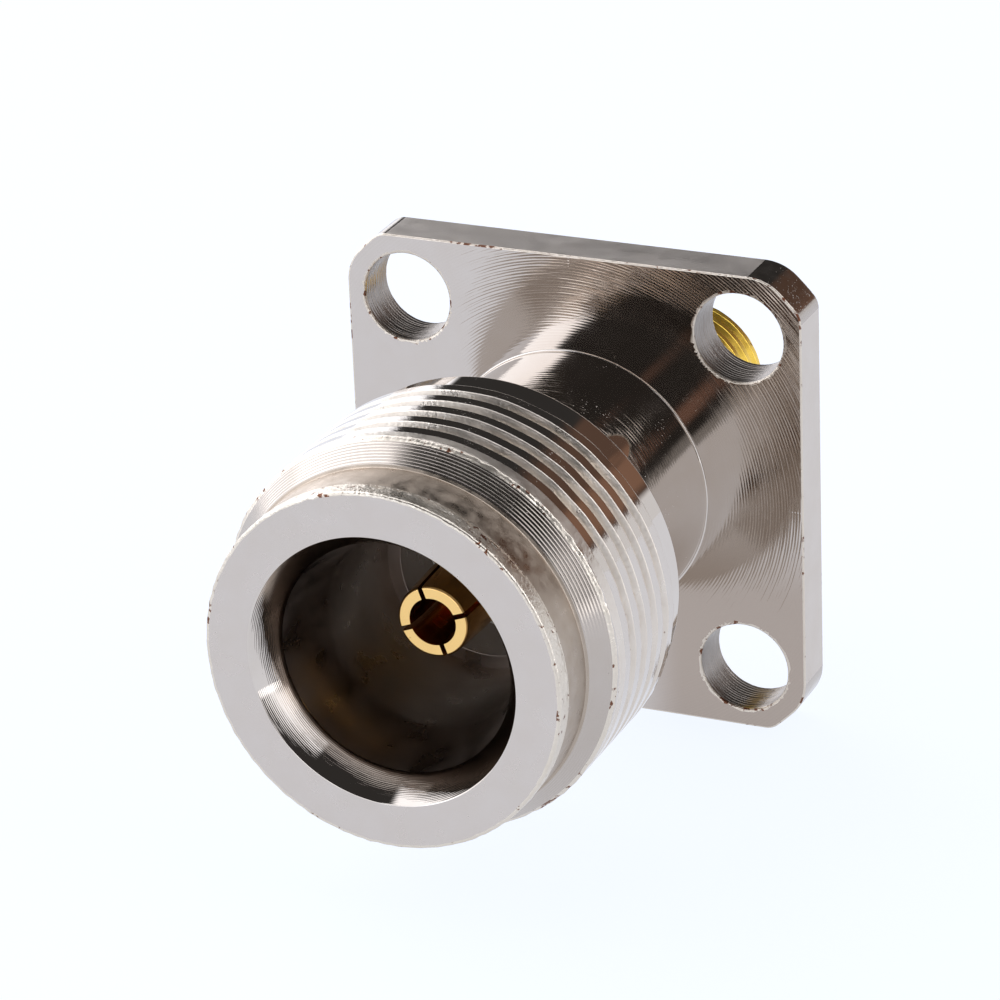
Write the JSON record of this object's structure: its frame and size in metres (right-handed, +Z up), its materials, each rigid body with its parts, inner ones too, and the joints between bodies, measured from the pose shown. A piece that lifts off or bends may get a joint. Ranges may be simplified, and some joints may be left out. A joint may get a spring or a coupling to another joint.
{
  "type": "n type coaxial connector",
  "caption": "Flange-mounted coaxial adapter: a large threaded jack in front of a square flange, a small threaded jack behind it, and one slotted centre contact through both.",
  "frame": {"origin": "centre of the flange's back face, on the connector's axis", "axes": "+Y along the axis from the large jack to the small one, so the large jack's mating face looks along -Y; +Z is up and the flange's sides are along X and Z"},
  "size_m": [0.0192, 0.0312, 0.0192],
  "materials": {
    "nickel_plate": "bright nickel plate over turned brass",
    "gold_plate_contact": "gold plate over turned bronze",
    "gold_plate_shell": "gold plate over turned brass",
    "white_ptfe": "turned white fluoropolymer"
  },
  "bodies": {
    "root": {"flanged_body": "nickel_plate", "centre_contact": "gold_plate_contact", "front_insulator": "white_ptfe", "rear_jack": "gold_plate_shell", "rear_insulator": "white_ptfe"}
  },
  "joints": []
}
